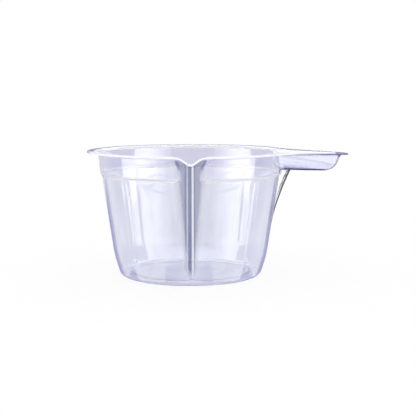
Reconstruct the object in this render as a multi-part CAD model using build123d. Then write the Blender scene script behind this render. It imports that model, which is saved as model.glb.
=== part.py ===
from build123d import *
import os
from math import cos, radians, sin, tan

# Resin mixing cup, pressed from one clear plastic sheet: a drafted cup on a heeled foot,
# with a stacking collar and a flat rim, an outward pouring channel on one side and a
# hollow, open-topped handle with a hollow gusset under it on another.
# Millimetres. The origin is the centre of the foot's resting plane, +Z is up, the spout
# points towards -Y and the handle towards +X.

# Sheet
sheet = 0.45                # thickness of the pressed sheet
overrun = 5.0               # how far cutting solids reach past what they cut

# Cup body, outer skin
cup_height = 43.8           # resting plane to the top of the rim
foot_radius = 24.6          # heel line carried down to the resting plane
foot_width = 3.0            # resting ring, from that line in to the floor panel's slope
foot_corner = 1.6           # rounding between the foot and the heel
panel_rise = 1.0            # how far the floor panel stands above the resting plane
panel_riser_run = 0.6       # plan width of the slope round the floor panel
heel_height = 7.0           # where the heel bends into the straight wall
heel_flare = 2.2            # gain in radius from the foot to the bend
heel_bend = 6.0             # rounding of the bend
wall_flare = 4.3            # gain in radius from the bend to the stacking ledge
collar_height = 8.0         # ledge to rim
ledge_width = 0.4
collar_flare = 0.9          # gain in radius from the ledge to the rim's plane
rim_width = 3.6             # flat rim beyond the collar
rim_bend = 0.85             # rounding under the rim

# Vertical flutes pressed into the straight wall
flute_radius = 0.85
flute_depth = 0.45
flute_angles = (44.0, 136.0, 224.0, 316.0)   # from the spout, round the cup
flute_clearance = 1.6       # bare wall left above and below each flute

# Pouring channel, a rounded V pressed outwards
channel_nose = 1.9          # radius of the V's crest
channel_half_angle = 58.0   # flank to centre plane
channel_lap = 0.8           # how far the back of the V reaches inside the collar
channel_top_proud = 2.1     # crest beyond the wall at the ledge
channel_heel_proud = 0.56   # crest beyond the wall at the heel bend
channel_tip_height = 4.1    # where the crest runs out on the heel
channel_tip_sink = 1.5      # how far the channel is carried below that point

# Funnel at the top of the channel
flare_height = 3.4
flare_nose = 3.2
flare_half_angle = 45.0
flare_proud = 0.6           # crest of the funnel, carried up to the rim's plane, beyond the rim

# Pouring lip, a dip in the rim that slopes outwards and down
lip_dip = 2.4               # depth of the dip at the rim's edge
lip_nose = 2.0
lip_half_angle = 58.0
lip_fall = 25.0             # slope of the lip's centre line
lip_half_width = 6.2        # half the width of the rim that belongs to the lip

# Handle, a tapered tongue with a trough under it, drooping a little
handle_length = 19.4        # rim's edge to the tip
handle_tip_radius = 4.8
handle_half_angle = 25.0    # side edge to centre plane
handle_blend = 16.0         # rounding between the tongue and the rim
handle_droop = 2.3
droop_setback = 7.5         # rim's edge back to the line where the droop starts
handle_border = 1.8         # flat left between the tongue's edge and the trough
trough_depth = 6.5          # rim plane to the underside of the trough
# Levels of the trough from its mouth down: depth, tip set-back, tip radius and half taper,
# each as a share of the depth, the depth, the mouth's tip radius and the handle's half taper
trough_shares = (
    (0.0, 0.0, 1.0, 1.0),
    (0.42, 0.24, 0.72, 0.94),
    (0.78, 0.46, 0.45, 0.80),
    (1.0, 0.84, 0.30, 0.56),
)

# Gusset, a narrow hollow rib from the trough down to the wall
gusset_half_width = 1.6
gusset_flat = 0.35          # half of the flat left along the rounded crest
gusset_foot_height = 18.0   # lower end of the rib
gusset_foot_sink = 0.15     # crest behind the wall's skin at that end
gusset_bow = 103.0          # radius of the crest in side view
gusset_head_proud = 4.5     # crest beyond the wall's top radius, at its upper end in the trough
gusset_head_rise = 0.9      # that end above the trough's floor

# Splits between the named regions of the sheet
rim_skirt = 1.6             # top of the collar that belongs to the rim
ledge_band = 0.7            # half height of the ledge's band

ledge_level = cup_height - collar_height
panel_radius = foot_radius - foot_width - panel_riser_run
heel_radius = foot_radius + heel_flare
wall_top_radius = heel_radius + wall_flare
ledge_radius = wall_top_radius + ledge_width
collar_top_radius = ledge_radius + collar_flare
rim_radius = collar_top_radius + rim_width
flare_crest = rim_radius + flare_proud
channel_depth = flare_crest - collar_top_radius + channel_lap
handle_reach = rim_radius + handle_length
droop_start = rim_radius - droop_setback
wall_slope = (wall_top_radius - heel_radius) / (ledge_level - heel_height)
heel_slope = (heel_radius - foot_radius) / heel_height
inside = foot_radius / 2    # a radius that is well inside the cup at every height


def wall_radius(height):
    """Outer radius of the straight wall, or of the heel under it."""
    if height < heel_height:
        return foot_radius + heel_slope * height
    return heel_radius + wall_slope * (height - heel_height)


def inset_corners(corners, distance):
    """The corners of an open outline moved to its left side by a distance."""
    moved = []
    for before, here, after in zip(corners, corners[1:], corners[2:]):
        first = (here - before).normalized()
        second = (after - here).normalized()
        normal = Vector(-first.Y - second.Y, first.X + second.X).normalized()
        share = normal.dot(Vector(-first.Y, first.X))
        moved.append(here + normal * (distance / share))
    return moved


def body_solid(inset):
    """The cup's solid of revolution: its outer skin, or with an inset its inner skin."""
    corners = [
        Vector(-panel_radius, panel_rise),
        Vector(panel_radius, panel_rise),
        Vector(panel_radius + panel_riser_run, 0),
        Vector(foot_radius, 0),
        Vector(heel_radius, heel_height),
        Vector(wall_top_radius, ledge_level),
        Vector(ledge_radius, ledge_level),
        Vector(collar_top_radius, cup_height - sheet),
        Vector(rim_radius + overrun, cup_height - sheet),
    ]
    radii = [0, 0, foot_corner - inset, heel_bend - inset, 0, 0, rim_bend + inset]
    skin = inset_corners(corners, inset)
    edge = rim_radius if inset == 0 else rim_radius + overrun
    top = cup_height if inset == 0 else cup_height + overrun
    points = [Vector(0, skin[0].Y), *skin, Vector(edge, skin[-1].Y), Vector(edge, top), Vector(0, top)]
    outline = FilletPolyline(*points, radius=[0, *radii, 0, 0, 0], close=True)
    return revolve(Plane.XZ * make_face(outline), Axis.Z)


def block(low, high):
    """A box between two corners."""
    size = high - low
    return Pos(*low) * Box(size.X, size.Y, size.Z, align=(Align.MIN, Align.MIN, Align.MIN))


def rounded_wedge(nose, half_angle, depth):
    """A wedge in plan with its rounded nose at the origin, pointing along +X."""
    apex = nose / sin(radians(half_angle)) - nose
    back = (depth + apex) * tan(radians(half_angle))
    outline = FilletPolyline((-depth, -back), (apex, 0), (-depth, back), radius=[0, nose, 0], close=True)
    return make_face(outline)


def flute_rods(inset):
    """Four rods, along the wall, that press the flutes into it."""
    low = heel_height + flute_clearance
    high = ledge_level - flute_clearance
    rod_radius = flute_radius + inset
    rods = []
    for angle in flute_angles:
        start = Vector(wall_radius(low) + flute_radius - flute_depth, 0, low)
        end = Vector(wall_radius(high) + flute_radius - flute_depth, 0, high)
        axis = Plane(start, z_dir=end - start)
        rod = axis * Cylinder(rod_radius, (end - start).length, align=(Align.CENTER, Align.CENTER, Align.MIN))
        rod += Pos(*start) * Sphere(rod_radius) + Pos(*end) * Sphere(rod_radius)
        rods.append(Rot(0, 0, angle - 90) * rod)
    return rods


def channel_solid(inset):
    """The pouring channel and the funnel above it."""
    heel_crest = heel_radius + channel_heel_proud
    crest_slope = (ledge_radius - ledge_width + channel_top_proud - heel_crest) / (ledge_level - heel_height)
    flare_level = cup_height - flare_height
    flare_foot = heel_crest + crest_slope * (flare_level - heel_height)
    tip_crest = wall_radius(channel_tip_height)
    tip_slope = (heel_crest - tip_crest) / (heel_height - channel_tip_height)
    levels = (
        (channel_tip_height - channel_tip_sink, tip_crest - tip_slope * channel_tip_sink, channel_nose,
         channel_half_angle),
        (heel_height, heel_crest, channel_nose, channel_half_angle),
        (flare_level, flare_foot, channel_nose, channel_half_angle),
        (cup_height, flare_crest, flare_nose, flare_half_angle),
    )
    sections = []
    for height, crest, nose, half_angle in levels:
        wedge = rounded_wedge(nose - inset, half_angle, channel_depth)
        sections.append(Pos(0, inset - crest, height) * Rot(0, 0, -90) * wedge)
    return loft(sections, ruled=True)


def lip_prism(inset):
    """Everything above the lip's top skin, or with an inset above its underside."""
    outwards = Vector(0, -cos(radians(lip_fall)), -sin(radians(lip_fall)))
    dip = Plane((0, -rim_radius, cup_height - lip_dip), x_dir=(1, 0, 0), z_dir=outwards)
    wedge = Pos(0, -inset) * Rot(0, 0, -90) * rounded_wedge(lip_nose + inset, lip_half_angle, lip_dip + overrun)
    return extrude(dip * wedge, amount=rim_radius - collar_top_radius + overrun, both=True)


def drooped(shape, level=cup_height):
    """A shape of the handle, tilted down about the line at a level where the droop starts."""
    return Pos(droop_start, 0, level) * Rot(0, handle_droop, 0) * Pos(-droop_start, 0, -level) * shape


def tongue_plate():
    """The rim's plate with the handle's tongue, from where the droop starts."""
    tongue = Pos(handle_reach, 0) * rounded_wedge(handle_tip_radius, handle_half_angle, handle_reach - inside)
    ring = Circle(rim_radius)
    root = (ring + tongue).vertices().filter_by_position(Axis.X, inside, rim_radius, (False, False))
    outline = fillet(root, handle_blend)
    thickness = sheet * cos(radians(handle_droop))
    plate = Pos(0, 0, cup_height - thickness) * extrude(outline, thickness)
    handle_side = block(Vector(droop_start, -rim_radius, 0), Vector(handle_reach + overrun, rim_radius, cup_height))
    return drooped(plate & handle_side)


def trough_solid(inset):
    """The handle's trough, lofted from its mouth down to its floor."""
    mouth_tip = handle_reach - handle_border
    mouth_radius = handle_tip_radius - handle_border
    depth = trough_depth - inset
    sections = []
    for depth_share, setback_share, radius_share, taper_share in trough_shares:
        half_taper = handle_half_angle * taper_share
        tip = mouth_tip - trough_depth * setback_share - inset
        nose = mouth_radius * radius_share - inset
        wedge = rounded_wedge(nose, half_taper, tip - inside - inset)
        sections.append(Pos(tip, 0, cup_height - depth * depth_share) * wedge)
    return drooped(loft(sections) + extrude(sections[0], overrun))


def gusset_solid(inset):
    """The rib under the trough: its crest bows in side view from the wall to the trough."""
    foot = Vector(wall_radius(gusset_foot_height) - gusset_foot_sink, gusset_foot_height)
    head = Vector(wall_top_radius + gusset_head_proud, cup_height - trough_depth + gusset_head_rise)
    skin = RadiusArc(foot, head, gusset_bow)
    start, end = (skin @ at + (skin % at).rotate(Axis.Z, 90) * inset for at in (0, 1))
    crest = RadiusArc(start, end, gusset_bow + inset)
    closing = Polyline(end, (inside, end.Y), (inside, start.Y), start)
    side = Plane.XZ * make_face(crest + closing)
    rib = extrude(side, gusset_half_width - inset, both=True)
    return fillet(rib.edges().filter_by(GeomType.CIRCLE), gusset_half_width - gusset_flat - inset)


def side_forms(inset):
    """What stands out of the cup's body: the outer skins filled, or the spaces inside."""
    return channel_solid(inset) + trough_solid(inset) + gusset_solid(inset)


def above(height):
    """Everything above a height of the rim's plate, which droops with the handle."""
    reach = handle_reach + overrun
    level = block(Vector(-reach, -reach, height), Vector(droop_start, reach, cup_height + reach))
    tilted = drooped(block(Vector(0, -reach, height), Vector(reach, reach, cup_height + reach)), height)
    return level + tilted


def band(low, high):
    """A disc that holds all of the cup between two heights."""
    disc = Cylinder(rim_radius + overrun, high - low, align=(Align.CENTER, Align.CENTER, Align.MIN))
    return Pos(0, 0, low) * disc


def rim_sheet(top, cavity):
    """The top of the sheet: the rim, the lip, the tongue and the edges of what hangs below."""
    reach = rim_radius + overrun
    level_plate = block(Vector(droop_start, -reach, cup_height - sheet), Vector(reach, reach, cup_height + overrun))
    lip_disc = band(cup_height - overrun, cup_height) & Cylinder(rim_radius, 2 * cup_height)
    filled = body_solid(0) - level_plate + tongue_plate() + side_forms(0) + (lip_disc & lip_prism(sheet))
    return (filled & top) - above(cup_height) - lip_prism(0) - cavity


cavity = body_solid(sheet) - flute_rods(sheet) + side_forms(sheet)
body = body_solid(0)
lip_block = block(
    Vector(-lip_half_width, -rim_radius - overrun, cup_height - flare_height),
    Vector(lip_half_width, -inside, cup_height + overrun))
handle_block = block(
    Vector(droop_start, -rim_radius - overrun, 0),
    Vector(handle_reach + overrun, rim_radius + overrun, cup_height + overrun))
panel_disc = Cylinder(panel_radius, heel_height)
top = above(cup_height - rim_skirt) + lip_block

rim = rim_sheet(top, cavity)
walls = body - flute_rods(0) - cavity - top
trough = trough_solid(0)
ledge = walls & band(ledge_level - ledge_band, ledge_level + ledge_band)
collar = walls & band(ledge_level + ledge_band, cup_height)
outer_rim = rim - lip_block - handle_block

parts = {
    "floor_panel": walls & panel_disc,
    "foot_ring": (walls & band(0, heel_height)) - panel_disc,
    "fluted_wall": walls & band(heel_height, ledge_level - ledge_band),
    "pour_lip": rim & lip_block,
    "spout_channel": channel_solid(0) - body - cavity - top,
    "handle_tongue": rim & handle_block,
    "handle_trough": trough - body - cavity - top,
    "handle_gusset": gusset_solid(0) - body - trough - cavity,
}

# The spout and the handle open the ledge, the collar and the rim, which leaves each of
# them a short arc between the two and a long arc round the rest of the cup.
for name, ring in {"ledge": ledge, "collar": collar, "rim": outer_rim}.items():
    short_arc, long_arc = ring.solids().sort_by(SortBy.VOLUME)
    parts[name + "_short_arc"] = short_arc
    parts[name + "_long_arc"] = long_arc

os.makedirs("parts", exist_ok=True)
for name, shape in parts.items():
    export_step(shape, f"parts/{name}.step")
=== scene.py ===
"""The looks of the resin mixing cup: one clear pressed sheet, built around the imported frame."""
from math import asin, atan, cos, radians, sin, sqrt, tan

import bpy
import numpy as np
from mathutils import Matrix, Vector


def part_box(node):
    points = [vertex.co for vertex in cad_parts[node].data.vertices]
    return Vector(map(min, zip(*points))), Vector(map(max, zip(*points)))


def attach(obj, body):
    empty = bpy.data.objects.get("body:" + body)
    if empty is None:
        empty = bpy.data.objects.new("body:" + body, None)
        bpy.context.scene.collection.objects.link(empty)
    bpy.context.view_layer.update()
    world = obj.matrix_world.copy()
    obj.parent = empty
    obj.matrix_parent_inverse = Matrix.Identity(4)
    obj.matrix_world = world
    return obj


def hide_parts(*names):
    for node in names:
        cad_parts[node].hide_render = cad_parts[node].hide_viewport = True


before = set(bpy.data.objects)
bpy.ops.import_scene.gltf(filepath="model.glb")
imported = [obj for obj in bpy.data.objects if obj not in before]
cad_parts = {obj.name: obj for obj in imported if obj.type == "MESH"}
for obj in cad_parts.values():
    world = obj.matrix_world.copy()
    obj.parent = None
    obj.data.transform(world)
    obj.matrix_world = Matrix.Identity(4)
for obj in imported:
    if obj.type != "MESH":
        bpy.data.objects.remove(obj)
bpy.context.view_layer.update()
MM = 0.001


def corners(node):
    """Lowest and highest corner of a CAD node, in millimetres."""
    low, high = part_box(node)
    return low / MM, high / MM


# Sizes read from the frame, in millimetres
cup_height = corners("rim_long_arc")[1].z
rim_radius = -corners("rim_long_arc")[0].x
panel_rise = corners("floor_panel")[0].z
panel_radius = corners("floor_panel")[1].x
sheet = corners("floor_panel")[1].z - panel_rise
heel_height = corners("foot_ring")[1].z
ledge_level = (corners("ledge_long_arc")[0].z + corners("ledge_long_arc")[1].z) / 2
handle_reach = corners("handle_tongue")[1].x
droop_start = corners("handle_tongue")[0].x

# Cup body, outer skin, in millimetres
foot_radius = 24.6
panel_riser_run = 0.6
heel_radius = 26.8
wall_top_radius = 31.1
ledge_radius = 31.5
collar_top_radius = 32.4

# Roundings where one form meets another
foot_corner = 1.6
panel_corner = 0.45
heel_softness = 0.5
ledge_corner = 0.42
ledge_root = 0.30
rim_bend = 0.85
edge_round = 0.14
channel_root = 0.7
trough_corner = 1.1
trough_root = 0.8
gusset_root = 0.5
flute_edge = 1.0
lip_root = 0.9

# Flutes
flute_radius = 0.85
flute_depth = 0.45
flute_foot_depth = 0.05
flute_clearance = 1.6
flute_reference = 29.0      # radius at which the mesh's columns have their own angles
flute_angles = (-46.0, 46.0, 134.0, -134.0)

# Pouring channel: height, crest radius, nose radius and half angle at each level
channel_low = 2.6
funnel_depth = 3.4          # the channel widens over this much of its height
channel_levels = (channel_low, heel_height, cup_height - funnel_depth, cup_height)
channel_crests = (25.06, 27.36, 34.0, 36.6)
channel_noses = (1.9, 1.9, 1.9, 3.2)
channel_half_angles = (58.0, 58.0, 58.0, 45.0)
channel_back = 20.5         # plane inside the cup at which the V ends

# Pouring lip
lip_dip = 2.4
lip_nose = 2.0
lip_half_angle = 58.0
lip_fall = radians(25.0)

# Handle
handle_tip_radius = 4.8
handle_half_angle = radians(25.0)
handle_blend = 16.0
handle_droop = radians(2.3)
handle_border = 1.8
handle_back = 12.0          # plane inside the cup at which the trough and the gusset end
trough_depth = 6.5
trough_level_shares = (0.0, 0.42, 0.78, 1.0)
trough_setback_shares = (0.0, 0.24, 0.46, 0.84)
trough_nose_shares = (1.0, 0.72, 0.45, 0.30)
trough_taper_shares = (1.0, 0.94, 0.80, 0.56)

# Gusset
gusset_half_width = 1.6
gusset_crest = 0.6
gusset_foot = (28.29, 18.0)
gusset_head = (35.6, 38.2)
gusset_bow = 103.0
gusset_low = 11.0           # where the rib is cut off, behind the wall

# Columns of the mesh, in degrees: each stretch has its end and its number of steps
even_columns = (-180, (180, 164))
handle_columns = (0, (1.6, 6), (2.2, 8), (3.4, 48), (5.5, 11), (13, 40), (20, 14), (32, 12))
spout_columns = (-20, (-5, 24), (5, 40), (20, 24))
flute_columns = (-2.7, (-2.0, 4), (-1.0, 12), (1.0, 8), (2.0, 12), (2.7, 4))
spout_angle = -90
column_gap = 0.8            # the even columns stay this far from the close ones
flute_turn_zone = 2.75      # the columns this near to a flute keep their width in millimetres

# Rows of the mesh, in millimetres. Each point is where a ray meets the skin: first rays down to
# the floor, then a fan at the foot, then slanting rays up to the trimmed edge.
floor_row_start = 0.6
floor_row_bend = 0.9        # the rows are closer from this far inside the panel's edge
floor_row_counts = (9, 16)
floor_ray_top = 6.0
floor_ray_length = 12.0
fan_margin = 1.2            # the fan's middle is this far outside the panel's edge
fan_height = 2.4
fan_turns = (90, (45, 8))
fan_ray_length = 8.0
slant_rows = ((27.5, 7), (31.0, 4), (36.5, 9), (39.0, 6), (61.5, 60), (65.6, 11), (68.2, 26))
slant_start = 10.0          # radius at which the slanting rays start
slant_excess = 4            # the slanting rays end this far under the foot
trim_rows = 130
trim_ray_rise = 6
trim_ray_length = 16.0
ray_halvings = 27
edge_turns = (-68, -45, -22, 0, 22, 45, 68)
edge_squareness = 0.5
slope_reach = 0.02          # half the step over which the skin's slope is measured

# Colour that one pass through the sheet leaves, by region. Several are not the sheet's own colour
# but painted shade or painted highlights, as marked below.
wall_tint = (0.832, 0.84, 0.91)
collar_tint = (0.82, 0.82, 0.91)
# painted shade: the collar darker on its far side
collar_back_shade_tint = (0.68, 0.682, 0.81)
foot_tint = (0.80, 0.81, 0.89)
ring_tint = (0.84, 0.85, 0.93)
floor_tint = (0.97, 0.98, 1.0)
disc_tint = (0.90, 0.905, 0.96)
# Painted shade: the channel and its nose darker than the sheet, with painted shade lines and
# painted highlights along it
channel_shade_tint = (0.46, 0.475, 0.58)
nose_shade_tint = (0.30, 0.32, 0.43)
channel_highlight_tint = (0.98, 0.99, 1.0)
soft_highlight_tint = (0.62, 0.64, 0.78)
channel_shade_and_highlight_lines = (         # place sideways, half width and tint of each painted line in the channel: painted shade lines and painted highlights
    (-0.2, 0.5, nose_shade_tint),
    (-1.75, 0.15, nose_shade_tint),
    (1.2, 0.2, nose_shade_tint),
    (-1.1, 0.1, soft_highlight_tint),
    (0.72, 0.24, channel_highlight_tint))
trough_tint = (0.80, 0.81, 0.90)
rib_tint = (0.99, 0.99, 1.0)
# painted shade: a near-black line along the rib's crest
crest_shade_tint = (0.004, 0.003, 0.012)
funnel_shade_tint = (0.22, 0.22, 0.36)
rim_tint = (0.84, 0.84, 0.96)
edge_highlight_tint = (0.97, 0.97, 1.0)
back_edge_shade_tint = (0.16, 0.15, 0.40)
# painted highlights: pale lines at the ledge, the panel's bend, the rim's bend, the foot and the
# channel's roots
highlight_tint = (0.95, 0.95, 1.0)
grazing_tint = (0.72, 0.73, 0.86)
outline_shade_tint = (0.08, 0.08, 0.12)

# How opaque the painted highlights and the painted shade are
edge_highlight_opacity = 0.96
back_edge_shade_opacity = 0.8
ledge_highlight_opacity = 0.6
panel_highlight_opacity = 0.3
root_highlight_opacity = 0.45
root_share = 0.6
bend_highlight_opacity = 0.5
foot_highlight_opacity = 0.35
lip_highlight_opacity = 0.96
crest_shade_opacity = 0.97
trim_shade_opacity = 0.97

# Where each tint starts and ends, in millimetres. A fade is its start and its end, and a band is
# its middle, its half width and its softness.
disc_radius = 9.0
disc_softness = 2
panel_softness = 1
ring_fade = (1.0, 2.2)
foot_fade = (-0.2, 0.6)
foot_white_fade = (0.5, 1.2)
panel_bend_band = (0.3, 0.5, 0.5)
panel_bend_top = 3
collar_fade = (-0.1, 0.25)
collar_back_reach = (-10, 14)
ledge_band = (0.3, 0.5)     # half width and softness
ledge_skin_band = (0, 0.3, 0.3)
channel_starts = (0.02, 0.5)            # how far the channel's tint keeps from the body
channel_body_fade = (0, 0.2)
channel_fade = (0.15, 0.7)
stripe_softness = 0.2
root_band = (0.1, 0.15, 0.3)
funnel_level = 38.2         # above this level the channel's borders carry painted shade lines
funnel_rise = 3
funnel_top = 0.8            # the borders' lines reach their end this far under the rim
funnel_line_band = (0.12, 0.05, 0.12)
trough_body_fade = (0.6, 1.4)
trough_fade = (0.2, 0.8)
rib_body_fade = (0.1, 0.5)
rib_fade = (0.2, 0.5)
crest_body_fade = (0.03, 0.2)
crest_line_depths = (0.28, 0.6)         # at the rib's foot and at its head
crest_line_fade = (0, 0.15)
crest_side_fade = (-0.1, 0.2)           # past the edge of the crest's flat
flange_depths = (1.1, 0.3)  # below the flange's underside
bend_band = (0.35, 0.3, 0.3)
bend_depths = (1.5, 1.0)    # below the rim's top
lip_sides = (1.8, 4.2)
lip_white_widths = (2.7, 0.6)           # at the lip's middle and at its sides
lip_white_softness = 0.3
lip_white_band = (0, 5, 2)
lip_white_rise = (-0.35, 0.0)
edge_white_start = 6.0      # distance towards the camera at which the cut edge turns from painted shade to a painted highlight
edge_white_full = 15.0
trim_line_width = 2.2       # painted shade: a darker strip along the trimmed edge, away from the camera
trim_line_reach = (-9.0, -3.0)
# width of the painted dark outline along the trimmed edge, away from the camera
outline_width = 2.0
strip_softness = 0.5

# Clear plastic
plastic_ior = 1.49
grazing_range = (0.62, 0.98)            # share of grazing at which the tint starts and is full
outline_range = (0.35, 0.72)
draw_line_scale = (260, 260, 40)        # per metre, drawn out along the cup's height
draw_line_detail = 3.0
draw_line_range = (0.3, 0.7)
draw_line_shades = (0.985, 1.015)
gloss_roughness = (0.012, 0.05)
matt_roughness = 0.6

# Studio, in millimetres and degrees
floor_half_width = 6000.0
floor_matt = 0.15
surround_radius = 650.0
surround_low = -700.0
surround_high = 700.0
surround_counts = (721, 281)
stripe_turn = 3.5           # the stripes stand turned towards the camera's left
upper_azimuths = (30.0, 34, 41, 48, 55, 62, 69, 76, 83)
upper_glows = (1.1, 1.5, 2.4, 3.6, 4.8, 5.2, 5.2, 4.8, 4.2)
upper_level = 135.0         # below this height the upper stripes start further round
upper_skew = 0.13
lower_azimuths = (26.5, 36, 46, 56, 66, 76, 86, 89.5)
lower_glows = (1.4, 1.7, 2.3, 4.0, 4.9, 5.2, 4.0, 3.2)
lower_level = -150.0        # below this height the lower stripes start further round
lower_skew = 0.04
lower_dim = 0.12            # share of the lower stripes' light that is left at their foot
lower_fade = (165, 200)     # depths between which their light falls to that
hood_start = 0.0            # the darker band above the object's height
hood_full = 40.0
hood_back = 132.0
hood_fade = 8
hood_dark = 0.9
deep_start = 300.0          # depth from which the studio below the table is dark
deep_full = 370.0
deep_dark = 0.9
flag_middle = 155.0         # darker bands beside the view, far behind the object
flag_half = 13.0
flag_fade = 5.0
flag_top = -70.0
flag_top_fade = 15
flag_dark = 0.5
dark_blue = 0.55            # dark panels are this much less dark in blue
ceiling_start = 230.0       # height from which the studio is brighter than white
ceiling_full = 330.0
top_middle = 250.0
top_half_width = 450.0
top_half_length = 650.0
top_light = 4.0
level_count = 24            # points along each side of a level panel
level_band = (0, 0.7, 0.3)

# Camera, in millimetres, pixels and radians
photo_width = 416
focal_length = 1031         # in pixels of the photo
sensor_width = 36
camera_distance = 361.0
camera_height = 67.3
camera_tilt = 0.121
camera_turn = -0.017

heel_slope = (heel_radius - foot_radius) / heel_height
wall_slope = (wall_top_radius - heel_radius) / (ledge_level - heel_height)
collar_slope = (collar_top_radius - ledge_radius) / (cup_height - ledge_level)


def rounded_union(a, b, radius):
    """Distance to two forms joined, with a fillet in the corner between them."""
    corner = np.hypot(np.maximum(radius - a, 0), np.maximum(radius - b, 0))
    return np.maximum(radius, np.minimum(a, b)) - corner


def rounded_overlap(a, b, radius):
    """Distance to what two forms share, with its edge rounded."""
    corner = np.hypot(np.maximum(radius + a, 0), np.maximum(radius + b, 0))
    return np.minimum(-radius, np.maximum(a, b)) + corner


def soft_overlap(a, b, softness):
    """Distance to what two forms share where they meet at a wide angle."""
    near = np.maximum(softness - np.abs(a - b), 0) / softness
    return np.maximum(a, b) + near * near * softness / 4


def line_distance(r, z, start, slope):
    """Distance outwards from a slanting line, given by one point and its slope."""
    return (r - start[0] - slope * (z - start[1])) / sqrt(1 + slope * slope)


def wedge_distance(beyond, aside, nose, half_angle):
    """Distance to a wedge with a rounded nose: beyond is past it, aside is from its middle."""
    side, ahead = np.sin(half_angle), np.cos(half_angle)
    apex = nose / side - nose
    from_centre = beyond + nose
    in_nose = aside * side - from_centre * ahead < 0
    flank = aside * ahead + (beyond - apex) * side
    return np.where(in_nose, np.hypot(from_centre, aside) - nose, flank)


def body_distance(r, z):
    """The drafted cup with its foot, heel, ledge and collar."""
    side = soft_overlap(
        line_distance(r, z, (foot_radius, 0), heel_slope),
        line_distance(r, z, (heel_radius, heel_height), wall_slope), heel_softness)
    collar = line_distance(r, z, (ledge_radius, ledge_level), collar_slope)
    collar = rounded_overlap(collar, ledge_level - z, ledge_corner)
    side = rounded_union(side, collar, ledge_root)
    riser = line_distance(r, z, (panel_radius + panel_riser_run, 0), -panel_riser_run / panel_rise)
    recess = rounded_overlap(riser, z - panel_rise, panel_corner)
    bottom = rounded_overlap(-z, -recess, panel_corner)
    return rounded_overlap(side, bottom, foot_corner)


def channel_distance(x, y, z):
    """The rounded V of the pouring channel, which opens into the funnel."""
    crest = np.interp(z, channel_levels, channel_crests)
    nose = np.interp(z, channel_levels, channel_noses)
    half_angle = np.radians(np.interp(z, channel_levels, channel_half_angles))
    wedge = wedge_distance(-y - crest, np.abs(x), nose, half_angle)
    return np.maximum(wedge, np.maximum(channel_low - z, y + channel_back))


def lip_distance(x, y, z):
    """The space above the underside of the lip, a V that falls outwards."""
    up = (y + rim_radius) * -sin(lip_fall) + (z - cup_height + lip_dip) * cos(lip_fall)
    return wedge_distance(-up - sheet, np.abs(x), lip_nose + sheet, radians(lip_half_angle))


def level_frame(x, z):
    """Where a point of the drooping handle lies when the handle is turned back level."""
    along, above = x - droop_start, z - cup_height
    turn = np.where(along > 0, handle_droop, 0)
    return (droop_start + along * np.cos(turn) - above * np.sin(turn),
            cup_height + along * np.sin(turn) + above * np.cos(turn))


def trough_distance(x, y, z):
    """The boat-shaped trough under the handle's tongue."""
    x, z = level_frame(x, z)
    level = np.clip((cup_height - z) / trough_depth, 0, 1)

    def at_level(shares):
        return np.polyval(np.polyfit(trough_level_shares, shares, 3), level)

    mouth_tip = handle_reach - handle_border
    tip = mouth_tip - trough_depth * at_level(trough_setback_shares)
    nose = (handle_tip_radius - handle_border) * at_level(trough_nose_shares)
    half_angle = handle_half_angle * at_level(trough_taper_shares)
    sides = wedge_distance(x - tip, np.abs(y), nose, half_angle)
    trough = rounded_overlap(sides, cup_height - trough_depth - z, trough_corner)
    return np.maximum(trough, handle_back - x)


def gusset_crest_distance(x, z):
    """Distance outwards from the rib's crest, which bows from the wall up to the trough."""
    run, rise = gusset_head[0] - gusset_foot[0], gusset_head[1] - gusset_foot[1]
    chord = sqrt(run * run + rise * rise)
    lean = atan(run / rise) - asin(chord / 2 / gusset_bow)
    centre = (gusset_foot[0] + gusset_bow * cos(lean), gusset_foot[1] - gusset_bow * sin(lean))
    arc = gusset_bow - np.hypot(x - centre[0], z - centre[1])
    straight = line_distance(x, z, gusset_foot, tan(lean))
    return np.where(z > gusset_foot[1], arc, straight)


def gusset_distance(x, y, z):
    """The narrow rib between the wall and the trough."""
    rib = rounded_overlap(gusset_crest_distance(x, z), np.abs(y) - gusset_half_width, gusset_crest)
    return np.maximum(rib, np.maximum(handle_back - x, gusset_low - z))


def flute_distance(x, y, z):
    """Four round-ended rods pressed into the wall."""
    low, high = heel_height + flute_clearance, ledge_level - flute_clearance
    radii = [
        heel_radius + wall_slope * (level - heel_height) + flute_radius - depth
        for level, depth in ((low, flute_foot_depth), (high, flute_depth))]
    nearest = np.full(np.shape(x), np.inf)
    for angle in np.radians(flute_angles):
        start = np.array([radii[0] * np.cos(angle), radii[0] * np.sin(angle), low])
        along = np.array([radii[1] * np.cos(angle), radii[1] * np.sin(angle), high]) - start
        offset = np.stack([x, y, z], -1) - start
        share = np.clip(offset @ along / (along @ along), 0, 1)
        across = offset - share[..., None] * along
        nearest = np.minimum(nearest, np.linalg.norm(across, axis=-1))
    return nearest - flute_radius


def skin_distance(x, y, z):
    """Distance to the sheet's outer skin, negative inside the cup and above the rim's underside."""
    shape = body_distance(np.hypot(x, y), z)
    shape = rounded_union(shape, channel_distance(x, y, z), channel_root)
    shape = rounded_union(shape, trough_distance(x, y, z), trough_root)
    shape = rounded_union(shape, gusset_distance(x, y, z), gusset_root)
    shape = rounded_overlap(shape, -flute_distance(x, y, z), flute_edge)
    top = cup_height - sheet - level_frame(x, z)[1]
    lip = rounded_union(top, lip_distance(x, y, z), lip_root)
    return rounded_union(shape, lip, rim_bend)


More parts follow.
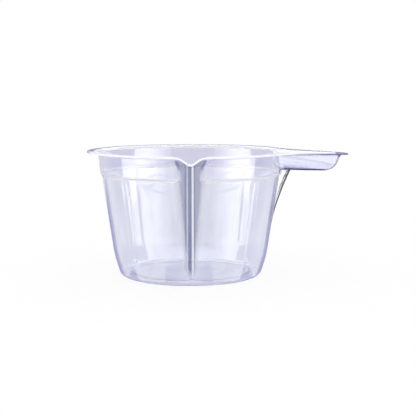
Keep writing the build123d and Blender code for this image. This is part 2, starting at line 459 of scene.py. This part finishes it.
def trim_radius(angle):
    """Radius, in plan, at which the sheet is trimmed: the rim's circle and the handle's tongue."""
    angle = np.abs(angle)
    taper = handle_half_angle
    apex = handle_reach - handle_tip_radius + handle_tip_radius / sin(taper)
    side = apex * sin(taper) / np.sin(angle + taper)
    tip_centre = handle_reach - handle_tip_radius
    reach = handle_tip_radius ** 2 - (tip_centre * np.sin(angle)) ** 2
    tip = tip_centre * np.cos(angle) + np.sqrt(np.maximum(reach, 0))
    on_tip = (tip * np.cos(angle) > tip_centre + handle_tip_radius * sin(taper)) & (reach > 0)
    blend_reach = rim_radius + handle_blend
    blend_angle = asin((apex * sin(taper) + handle_blend) / blend_reach) - taper
    ahead = blend_reach * np.cos(angle - blend_angle)
    blend = ahead - np.sqrt(np.maximum(ahead ** 2 - blend_reach ** 2 + handle_blend ** 2, 0))
    root = (blend_reach * cos(blend_angle) - handle_blend * sin(taper),
            blend_reach * sin(blend_angle) - handle_blend * cos(taper))
    root_angle = np.arctan2(root[1], root[0])
    outline = np.where(on_tip, tip, side)
    outline = np.where(angle > root_angle, blend, outline)
    return np.where(angle > blend_angle, rim_radius, outline)


def steps(*stretches):
    """Rising values through several stretches, each given by its end and its number of steps."""
    values = [stretches[0]]
    for end, count in stretches[1:]:
        values += list(np.linspace(values[-1], end, count + 1)[1:])
    return np.array(values)


def column_angles():
    """Angles of the mesh's columns round the cup, close together where the sheet is formed."""
    handle, spout, flute = steps(*handle_columns), steps(*spout_columns), steps(*flute_columns)
    fine = [np.concatenate([handle, -handle]), spout_angle + spout]
    fine += [angle + flute for angle in flute_angles]
    around = steps(*even_columns)
    for zone in fine:
        around = around[(around < zone.min() - column_gap) | (around > zone.max() + column_gap)]
    angles = np.unique(np.round(np.concatenate([around, *fine]), 4))
    return np.radians(angles[angles > even_columns[0]])


def turned(angles, radius):
    """The columns' angles at a row of this radius, with each flute as wide as at any other."""
    turned_angles = angles.copy()
    for middle in np.radians(flute_angles):
        near = np.abs(angles - middle) < radians(flute_turn_zone)
        turned_angles[near] = middle + (angles[near] - middle) * flute_reference / radius
    return turned_angles


def crossing(place, low, high, level):
    """Where the skin lies along each ray, by halving the stretch that holds it."""
    low, high = np.array(low, float), np.array(high, float)
    for _ in range(ray_halvings):
        middle = (low + high) / 2
        outside = skin_distance(*place(middle)) > level
        high = np.where(outside, middle, high)
        low = np.where(outside, low, middle)
    return place((low + high) / 2)


def skin_grid(angles, level):
    """Points of one skin, row by row from the floor's middle to the trimmed edge."""
    rows = []

    def add_row(row_angles, ray, reach):
        cosines, sines = np.cos(row_angles), np.sin(row_angles)

        def place(distance):
            r, z = ray(distance)
            return r * cosines, r * sines, z
        start = np.zeros(angles.shape)
        rows.append(np.stack(crossing(place, start, start + reach, level), -1))

    foot_angles = turned(angles, heel_radius)
    fan_radius = panel_radius + fan_margin
    bend, edge = floor_row_counts
    for r in steps(floor_row_start, (panel_radius - floor_row_bend, bend), (fan_radius, edge)):
        add_row(foot_angles, lambda d: (r + 0 * d, floor_ray_top - d), floor_ray_length)
    for turn in np.radians(steps(*fan_turns)[1:]):
        add_row(foot_angles, lambda d: (fan_radius + d * cos(turn), fan_height - d * sin(turn)),
                fan_ray_length)

    trim = trim_radius(angles) - edge_round
    add_row(angles, lambda d: (trim, cup_height + trim_ray_rise - d), trim_ray_length)
    end = trim + rows.pop()[:, 2]
    sums = steps(fan_radius + fan_height, *slant_rows)
    slants = []
    for total in sums[1:]:
        radius = np.interp(total, (heel_radius + heel_height, wall_top_radius + ledge_level),
                           (heel_radius, wall_top_radius))
        slants.append((turned(angles, radius), total))
    for share in steps(0, (1, trim_rows))[1:]:
        slants.append((angles, sums[-1] + (end - sums[-1]) * share))
    for row_angles, total in slants:
        add_row(row_angles, lambda d: (slant_start + d, total - slant_start - d),
                total - slant_start + slant_excess)
    return np.stack(rows)


def smooth_share(value, start, end):
    """A share that rises smoothly from 0 at start to 1 at end."""
    share = np.clip((value - start) / (end - start), 0, 1)
    return share * share * (3 - 2 * share)


def band_share(value, middle, half_width, softness):
    """A share that is 1 inside a band and fades out beyond it."""
    return 1 - smooth_share(np.abs(value - middle), half_width, half_width + softness)


def sheet_tints(points, crest_share):
    """Each point's colour, painted shade and painted highlights included, with its clearness as
    alpha, and its share of painted dark outline.
    """
    x, y, z = points[..., 0], points[..., 1], points[..., 2]
    radius = np.hypot(x, y)
    level = level_frame(x, z)[1]
    to_trim = trim_radius(np.arctan2(y, x)) - radius
    body = body_distance(radius, z)
    channel_side = channel_distance(x, y, z)
    gusset_side = gusset_distance(x, y, z)

    channel_start = np.interp(z, (funnel_level, cup_height - funnel_top), channel_starts)
    channel = smooth_share(body - channel_start, *channel_body_fade)
    channel = channel * (1 - smooth_share(channel_side, *channel_fade))
    trough = smooth_share(body, *trough_body_fade)
    trough = trough * (1 - smooth_share(trough_distance(x, y, z), *trough_fade))
    on_rib = 1 - smooth_share(gusset_side, *rib_fade)
    rib = smooth_share(body, *rib_body_fade) * on_rib * (1 - trough)
    # Painted shade: a near-black line along the rib's crest, on the outer skin only
    crest_depth = np.interp(z, (gusset_foot[1], gusset_head[1]), crest_line_depths)
    crest = crest_share * smooth_share(body, *crest_body_fade) * on_rib
    crest = crest * (1 - smooth_share(-gusset_crest_distance(x, z) - crest_depth, *crest_line_fade))
    crest_side = np.abs(y) - gusset_half_width + gusset_crest
    crest = crest * smooth_share(crest_side, *crest_side_fade)
    flange = smooth_share(level - cup_height + sheet, *(-depth for depth in flange_depths))
    collar = smooth_share(z - ledge_level, *collar_fade)

    # Painted highlights: pale lines at the ledge, the panel's bend, the rim's bend, the foot and
    # the channel's roots
    ledge = band_share(z, ledge_level, *ledge_band) * (1 - channel)
    ledge = ledge * band_share(body, *ledge_skin_band)
    panel_bend = band_share(radius - panel_radius, *panel_bend_band) * (z < panel_bend_top)
    root = band_share(channel_side, *root_band) * band_share(body, *root_band)
    # Painted shade: dark lines along the channel's borders in the funnel
    funnel = smooth_share(z, funnel_level, funnel_level + funnel_rise) * (1 - flange) * (y < 0)
    funnel_line = band_share(channel_side, *root_band) * funnel
    funnel_line = funnel_line * band_share(body - channel_start, *funnel_line_band)
    away = smooth_share(y, *trim_line_reach)
    bend = smooth_share(z - cup_height, *(-depth for depth in bend_depths))
    bend = bend * band_share(body, *bend_band) * away * (1 - trough)
    # Painted highlight: a white band on the pouring lip
    lip_width = np.interp(np.abs(x), lip_sides, lip_white_widths)
    lip_highlight_band = 1 - smooth_share(to_trim - lip_width, 0, lip_white_softness)
    lip_highlight_band = lip_highlight_band * band_share(x, *lip_white_band) * (y < 0)
    lip_highlight_band = lip_highlight_band * smooth_share(z - points[-1, :, 2], *lip_white_rise)

    # Painted shade: a dark strip along the trimmed edge on the side away from the camera
    def edge_strip(width):
        return (1 - smooth_share(to_trim - width, 0, strip_softness)) * away * flange

    paints = [
        (foot_tint, 0, smooth_share(heel_height - z, *foot_fade)),
        (ring_tint, 0, 1 - smooth_share(z, *ring_fade)),
        (floor_tint, 0, 1 - smooth_share(radius - panel_radius, 0, panel_softness)),
        (disc_tint, 0, 1 - smooth_share(radius - disc_radius, 0, disc_softness)),
        (collar_tint, 0, collar),
        # painted shade on the collar's far side
        (collar_back_shade_tint, 0, collar * smooth_share(y, *collar_back_reach)),
        # painted shade over the channel
        (channel_shade_tint, 0, channel)]
    # painted shade lines and painted highlights along the channel
    for place, half_width, tint in channel_shade_and_highlight_lines:
        paints.append((tint, 0, channel * band_share(x, place, half_width, stripe_softness)))
    paints += [
        (trough_tint, 0, trough),
        (rib_tint, 0, rib),
        # painted shade along the rib's crest
        (crest_shade_tint, crest_shade_opacity, crest),
        (rim_tint, 0, flange),
        # painted highlights
        (highlight_tint, ledge_highlight_opacity, ledge),
        (highlight_tint, panel_highlight_opacity, panel_bend),
        (highlight_tint, bend_highlight_opacity, bend),
        (highlight_tint, foot_highlight_opacity, 1 - smooth_share(z, *foot_white_fade)),
        (highlight_tint, root_highlight_opacity, root * (1 - funnel) * root_share),
        # painted shade lines at the funnel's borders
        (funnel_shade_tint, 0, funnel_line),
        # painted shade along the trimmed edge's far side
        (back_edge_shade_tint, trim_shade_opacity, edge_strip(trim_line_width)),
        # painted highlight on the pouring lip
        (edge_highlight_tint, lip_highlight_opacity, lip_highlight_band)]
    tints = np.broadcast_to(np.array((*wall_tint, 1.0)), (*x.shape, 4))
    for tint, opacity, share in paints:
        tints = tints + (np.array((*tint, 1 - opacity)) - tints) * share[..., None]
    return tints, np.maximum(edge_strip(outline_width), trough)


def outer_places(points):
    """The points of the outer skin that lie over these points of the inner skin."""
    slopes = []
    for step in np.eye(3) * slope_reach:
        ahead, behind = np.moveaxis(points + step, -1, 0), np.moveaxis(points - step, -1, 0)
        slopes.append(skin_distance(*ahead) - skin_distance(*behind))
    slopes = np.stack(slopes, -1)
    lengths = np.linalg.norm(slopes, axis=-1, keepdims=True)
    return points + sheet * slopes / np.maximum(lengths, 1e-6)


def sheet_mesh():
    """The whole sheet as one closed mesh: outer skin, trimmed edge and inner skin."""
    angles = column_angles()
    outer = skin_grid(angles, 0.0)
    inner = skin_grid(angles, -sheet)
    low, high = outer[-1], inner[-1]
    radial = np.stack([np.cos(angles), np.sin(angles), np.zeros(angles.shape)], -1)
    edge = []
    for turn in np.radians(edge_turns):
        rise = np.sign(turn) * abs(sin(turn)) ** edge_squareness
        middle = (low + high) / 2 + (high - low) / 2 * rise
        edge.append(middle + radial * edge_round * cos(turn) ** edge_squareness)
    grid = np.concatenate([outer, edge, inner[::-1]])
    tints, outline = sheet_tints(outer, 1.0)
    inner_tints, inner_outline = sheet_tints(outer_places(inner), 0.0)
    # The cut edge: a painted highlight towards the camera and painted shade away from it
    front = smooth_share(-np.array(edge)[..., 1:2], edge_white_start, edge_white_full)
    highlight_edge = np.array((*edge_highlight_tint, 1 - edge_highlight_opacity))
    shaded_edge = np.array((*back_edge_shade_tint, 1 - back_edge_shade_opacity))
    edge_tints = shaded_edge + (highlight_edge - shaded_edge) * front
    edge_outline = outline[-1:] + np.zeros(edge_tints.shape[:2])
    tints = np.concatenate([tints, edge_tints, inner_tints[::-1]])
    outline = np.concatenate([outline, edge_outline, inner_outline[::-1]])
    count, columns = grid.shape[:2]
    points = grid.reshape(-1, 3)
    poles = np.array([[0, 0, grid[0, 0, 2]], [0, 0, grid[-1, 0, 2]]])
    index = np.arange(count * columns).reshape(count, columns)
    after = np.roll(index, -1, axis=1)
    quads = np.stack([index[:-1], index[1:], after[1:], after[:-1]], -1).reshape(-1, 4)
    faces = [tuple(q) for q in quads[:, ::-1]]
    bottom, top = count * columns, count * columns + 1
    faces += [(bottom, a, b) for a, b in zip(after[0], index[0])]
    faces += [(top, a, b) for a, b in zip(index[-1], after[-1])]
    mesh = bpy.data.meshes.new("cup_sheet")
    mesh.from_pydata((np.concatenate([points, poles]) * MM).tolist(), [], faces)
    mesh.update()
    mesh.shade_smooth()
    colours = np.concatenate([tints.reshape(-1, 4), [tints[0, 0], tints[-1, 0]]])
    attribute = mesh.attributes.new("tint", "FLOAT_COLOR", "POINT")
    attribute.data.foreach_set("color", colours.ravel())
    attribute = mesh.attributes.new("outline", "FLOAT", "POINT")
    attribute.data.foreach_set("value", np.concatenate([outline.ravel(), outline[[0, -1], 0]]))
    return mesh


def material_nodes(name):
    """An empty node material and short names for its nodes and links."""
    material = bpy.data.materials.new(name)
    material.use_nodes = True
    nodes, links = material.node_tree.nodes, material.node_tree.links
    nodes.clear()
    return material, nodes, links


def map_range(nodes, links, value, to_range, from_range=(0, 1)):
    """A node that carries a value over from one range to another."""
    node = nodes.new("ShaderNodeMapRange")
    node.inputs["From Min"].default_value, node.inputs["From Max"].default_value = from_range
    node.inputs["To Min"].default_value, node.inputs["To Max"].default_value = to_range
    links.new(value, node.inputs["Value"])
    return node


def clear_sheet_material():
    """Clear pressed plastic: a faint cool tint with painted shade and painted highlights from the
    tint attribute, soft draw lines and small differences in gloss.
    """
    material, nodes, links = material_nodes("clear_sheet")
    out = nodes.new("ShaderNodeOutputMaterial")
    plastic = nodes.new("ShaderNodeBsdfPrincipled")
    plastic.inputs["IOR"].default_value = plastic_ior
    tint = nodes.new("ShaderNodeAttribute")
    tint.attribute_name = "tint"
    outline = nodes.new("ShaderNodeAttribute")
    outline.attribute_name = "outline"
    facing = nodes.new("ShaderNodeLayerWeight")
    facing.inputs["Blend"].default_value = 0.5

    # The tint is deeper where the sheet is seen at a grazing angle, partly for the longer path
    # through the sheet and partly as painted shade at the silhouettes, and deepest on outline
    # places, where it is a painted dark outline
    edge_share = map_range(nodes, links, facing.outputs["Facing"], (0, 1), grazing_range)
    outline_share = map_range(nodes, links, facing.outputs["Facing"], (0, 1), outline_range)
    links.new(outline.outputs["Fac"], outline_share.inputs["To Max"])
    colour = tint.outputs["Color"]
    for share, grazing in ((edge_share, grazing_tint), (outline_share, outline_shade_tint)):
        share.interpolation_type = "SMOOTHSTEP"
        deeper = nodes.new("ShaderNodeMix")
        deeper.data_type = "RGBA"
        deeper.blend_type = "MULTIPLY"
        deeper.inputs["B"].default_value = (*grazing, 1)
        links.new(share.outputs["Result"], deeper.inputs["Factor"])
        links.new(colour, deeper.inputs["A"])
        colour = deeper.outputs["Result"]

    place = nodes.new("ShaderNodeTexCoord")
    stretch = nodes.new("ShaderNodeMapping")
    stretch.inputs["Scale"].default_value = draw_line_scale
    links.new(place.outputs["Object"], stretch.inputs["Vector"])
    draw_lines = nodes.new("ShaderNodeTexNoise")
    draw_lines.inputs["Scale"].default_value = 1.0
    draw_lines.inputs["Detail"].default_value = draw_line_detail
    links.new(stretch.outputs["Vector"], draw_lines.inputs["Vector"])
    shade = map_range(nodes, links, draw_lines.outputs["Fac"], draw_line_shades, draw_line_range)
    streaked = nodes.new("ShaderNodeVectorMath")
    streaked.operation = "SCALE"
    links.new(colour, streaked.inputs[0])
    links.new(shade.outputs["Result"], streaked.inputs["Scale"])
    links.new(streaked.outputs["Vector"], plastic.inputs["Base Color"])

    # Opaque places are matt, and the gloss of the rest varies with the draw lines
    gloss = map_range(nodes, links, draw_lines.outputs["Fac"], gloss_roughness)
    matt = map_range(nodes, links, tint.outputs["Alpha"], (matt_roughness, 0.0))
    roughness = nodes.new("ShaderNodeMath")
    links.new(gloss.outputs["Result"], roughness.inputs[0])
    links.new(matt.outputs["Result"], roughness.inputs[1])
    links.new(roughness.outputs["Value"], plastic.inputs["Roughness"])
    links.new(tint.outputs["Alpha"], plastic.inputs["Transmission Weight"])
    links.new(plastic.outputs[0], out.inputs[0])
    return material


def reflection_only(nodes, links, shader, for_reflections=True):
    """Shows the shader only to rays that have been reflected, or only to those that haven't."""
    rays = nodes.new("ShaderNodeLightPath")
    clear = nodes.new("ShaderNodeBsdfTransparent")
    choice = nodes.new("ShaderNodeMixShader")
    reflected = nodes.new("ShaderNodeMath")
    reflected.operation = "GREATER_THAN"
    reflected.inputs[1].default_value = 0.5
    links.new(rays.outputs["Glossy Depth"], reflected.inputs[0])
    links.new(reflected.outputs[0], choice.inputs[0])
    links.new(clear.outputs[0], choice.inputs[1 if for_reflections else 2])
    links.new(shader.outputs[0], choice.inputs[2 if for_reflections else 1])
    return choice


def panel_material():
    """Light panels and dark flags: as bright as their glow says, and seen only as reflections."""
    material, nodes, links = material_nodes("studio_panel")
    out = nodes.new("ShaderNodeOutputMaterial")
    glow = nodes.new("ShaderNodeAttribute")
    glow.attribute_name = "glow"
    emission = nodes.new("ShaderNodeEmission")
    links.new(glow.outputs["Color"], emission.inputs["Color"])
    choice = reflection_only(nodes, links, emission)
    links.new(choice.outputs[0], out.inputs[0])
    material.cycles.emission_sampling = "NONE"
    return material


def floor_material():
    """A plain white table, which reflections in the sheet don't show: they show the studio."""
    material, nodes, links = material_nodes("studio_floor")
    out = nodes.new("ShaderNodeOutputMaterial")
    matt = nodes.new("ShaderNodeBsdfDiffuse")
    matt.inputs["Color"].default_value = (floor_matt, floor_matt, floor_matt, 1)
    white = nodes.new("ShaderNodeEmission")
    white.inputs["Strength"].default_value = 1 - floor_matt
    total = nodes.new("ShaderNodeAddShader")
    links.new(matt.outputs[0], total.inputs[0])
    links.new(white.outputs[0], total.inputs[1])
    choice = reflection_only(nodes, links, total, for_reflections=False)
    links.new(choice.outputs[0], out.inputs[0])
    return material


def panel(name, points, glows, material):
    """A studio panel from a grid of points, in millimetres, with a glow for each."""
    rows, columns = points.shape[:2]
    index = np.arange(rows * columns).reshape(rows, columns)
    faces = np.stack([index[:-1, :-1], index[1:, :-1], index[1:, 1:], index[:-1, 1:]], -1)
    mesh = bpy.data.meshes.new(name)
    mesh.from_pydata((points.reshape(-1, 3) * MM).tolist(), [], faces.reshape(-1, 4).tolist())
    mesh.update()
    blue = np.where(glows < 1, 1 - (1 - glows) * dark_blue, glows)
    attribute = mesh.attributes.new("glow", "FLOAT_COLOR", "POINT")
    colours = np.stack([glows, glows, blue, np.ones(glows.shape)], -1)
    attribute.data.foreach_set("color", colours.ravel())
    piece = bpy.data.objects.new(name, mesh)
    piece.data.materials.append(material)
    piece.visible_camera = False
    scene.collection.objects.link(piece)
    return piece


def stripe_glow(side, height):
    """Light of the two bright stripes: an upper and a lower pair, or 0 outside them."""
    upper = height > (hood_start + flag_top) / 2
    skew = np.where(upper, upper_skew * np.maximum(upper_level - height, 0),
                    lower_skew * np.maximum(lower_level - height, 0))
    above = np.interp(side - skew, upper_azimuths, upper_glows, left=0, right=0)
    below = np.interp(side - skew, lower_azimuths, lower_glows, left=0, right=0)
    low_share = lower_dim + (1 - lower_dim) * (1 - smooth_share(-height, *lower_fade))
    below = np.where(below > 0, 1 + (below - 1) * low_share, 0)
    return np.where(upper, above, below)


def surround(material):
    """A ring round the object: bright stripes beside the camera, dark flags, hood and depth."""
    columns, rows = surround_counts
    turn, height = np.meshgrid(
        np.linspace(-180, 180, columns), np.linspace(surround_low, surround_high, rows))
    across, ahead = np.sin(np.radians(turn)), np.cos(np.radians(turn))
    points = np.stack([surround_radius * across, -surround_radius * ahead, height], -1)
    side = np.abs(turn)
    hood = smooth_share(height, hood_start, hood_full)
    hood = hood * (1 - smooth_share(side, hood_back, hood_back + hood_fade))
    deep = smooth_share(-height, deep_start, deep_full)
    flags = band_share(side, flag_middle, flag_half, flag_fade)
    flags = flags * smooth_share(flag_top - height, -flag_top_fade, flag_top_fade)
    dark = np.maximum.reduce([hood_dark * hood, deep_dark * deep, flag_dark * flags])
    stripes = stripe_glow(np.abs(turn + stripe_turn), height)
    glows = np.where(stripes > 0, stripes, 1 - dark)
    ceiling = smooth_share(height, ceiling_start, ceiling_full)
    return panel("surround", points, glows + (top_light - glows) * ceiling, material)


def level_panel(name, middle, height, half_width, half_length, glow, material):
    """A flat level panel that fades to white at its sides."""
    ticks = np.linspace(-1, 1, level_count)
    across, along = np.meshgrid(ticks, ticks)
    places = [across * half_width, middle + along * half_length, np.full(across.shape, height)]
    points = np.stack(places, -1)
    share = band_share(across, *level_band) * band_share(along, *level_band)
    return panel(name, points, 1 + (glow - 1) * share, material)


scene = bpy.context.scene
cup = bpy.data.objects.new("cup_sheet", sheet_mesh())
scene.collection.objects.link(cup)
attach(cup, "root")
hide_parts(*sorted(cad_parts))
cup.data.materials.append(clear_sheet_material())

# Studio: white all round, a white table, and soft panels that only reflections show
world = bpy.data.worlds.new("studio")
scene.world = world
world.use_nodes = True
world.node_tree.nodes["Background"].inputs["Color"].default_value = (1, 1, 1, 1)
world.node_tree.nodes["Background"].inputs["Strength"].default_value = 1.0

floor_mesh = bpy.data.meshes.new("floor")
reach = floor_half_width * MM
floor_corners = [(-reach, -reach, 0), (reach, -reach, 0), (reach, reach, 0), (-reach, reach, 0)]
floor_mesh.from_pydata(floor_corners, [], [(0, 1, 2, 3)])
floor = bpy.data.objects.new("floor", floor_mesh)
floor.data.materials.append(floor_material())
scene.collection.objects.link(floor)

studio_panel = panel_material()
surround(studio_panel)
level_panel("overhead", top_middle, surround_high, top_half_width, top_half_length,
            top_light, studio_panel)
level_panel("underneath", 0, surround_low, surround_radius, surround_radius,
            1 - deep_dark, studio_panel)

camera_data = bpy.data.cameras.new("camera")
camera = bpy.data.objects.new("camera", camera_data)
scene.collection.objects.link(camera)
camera_data.sensor_width = sensor_width
camera_data.lens = sensor_width * focal_length / photo_width
camera.location = (0, -camera_distance * MM, camera_height * MM)
camera.rotation_euler = (radians(90) - camera_tilt, 0, camera_turn)
scene.camera = camera
scene.view_settings.view_transform = "Standard"

bpy.context.view_layer.update()
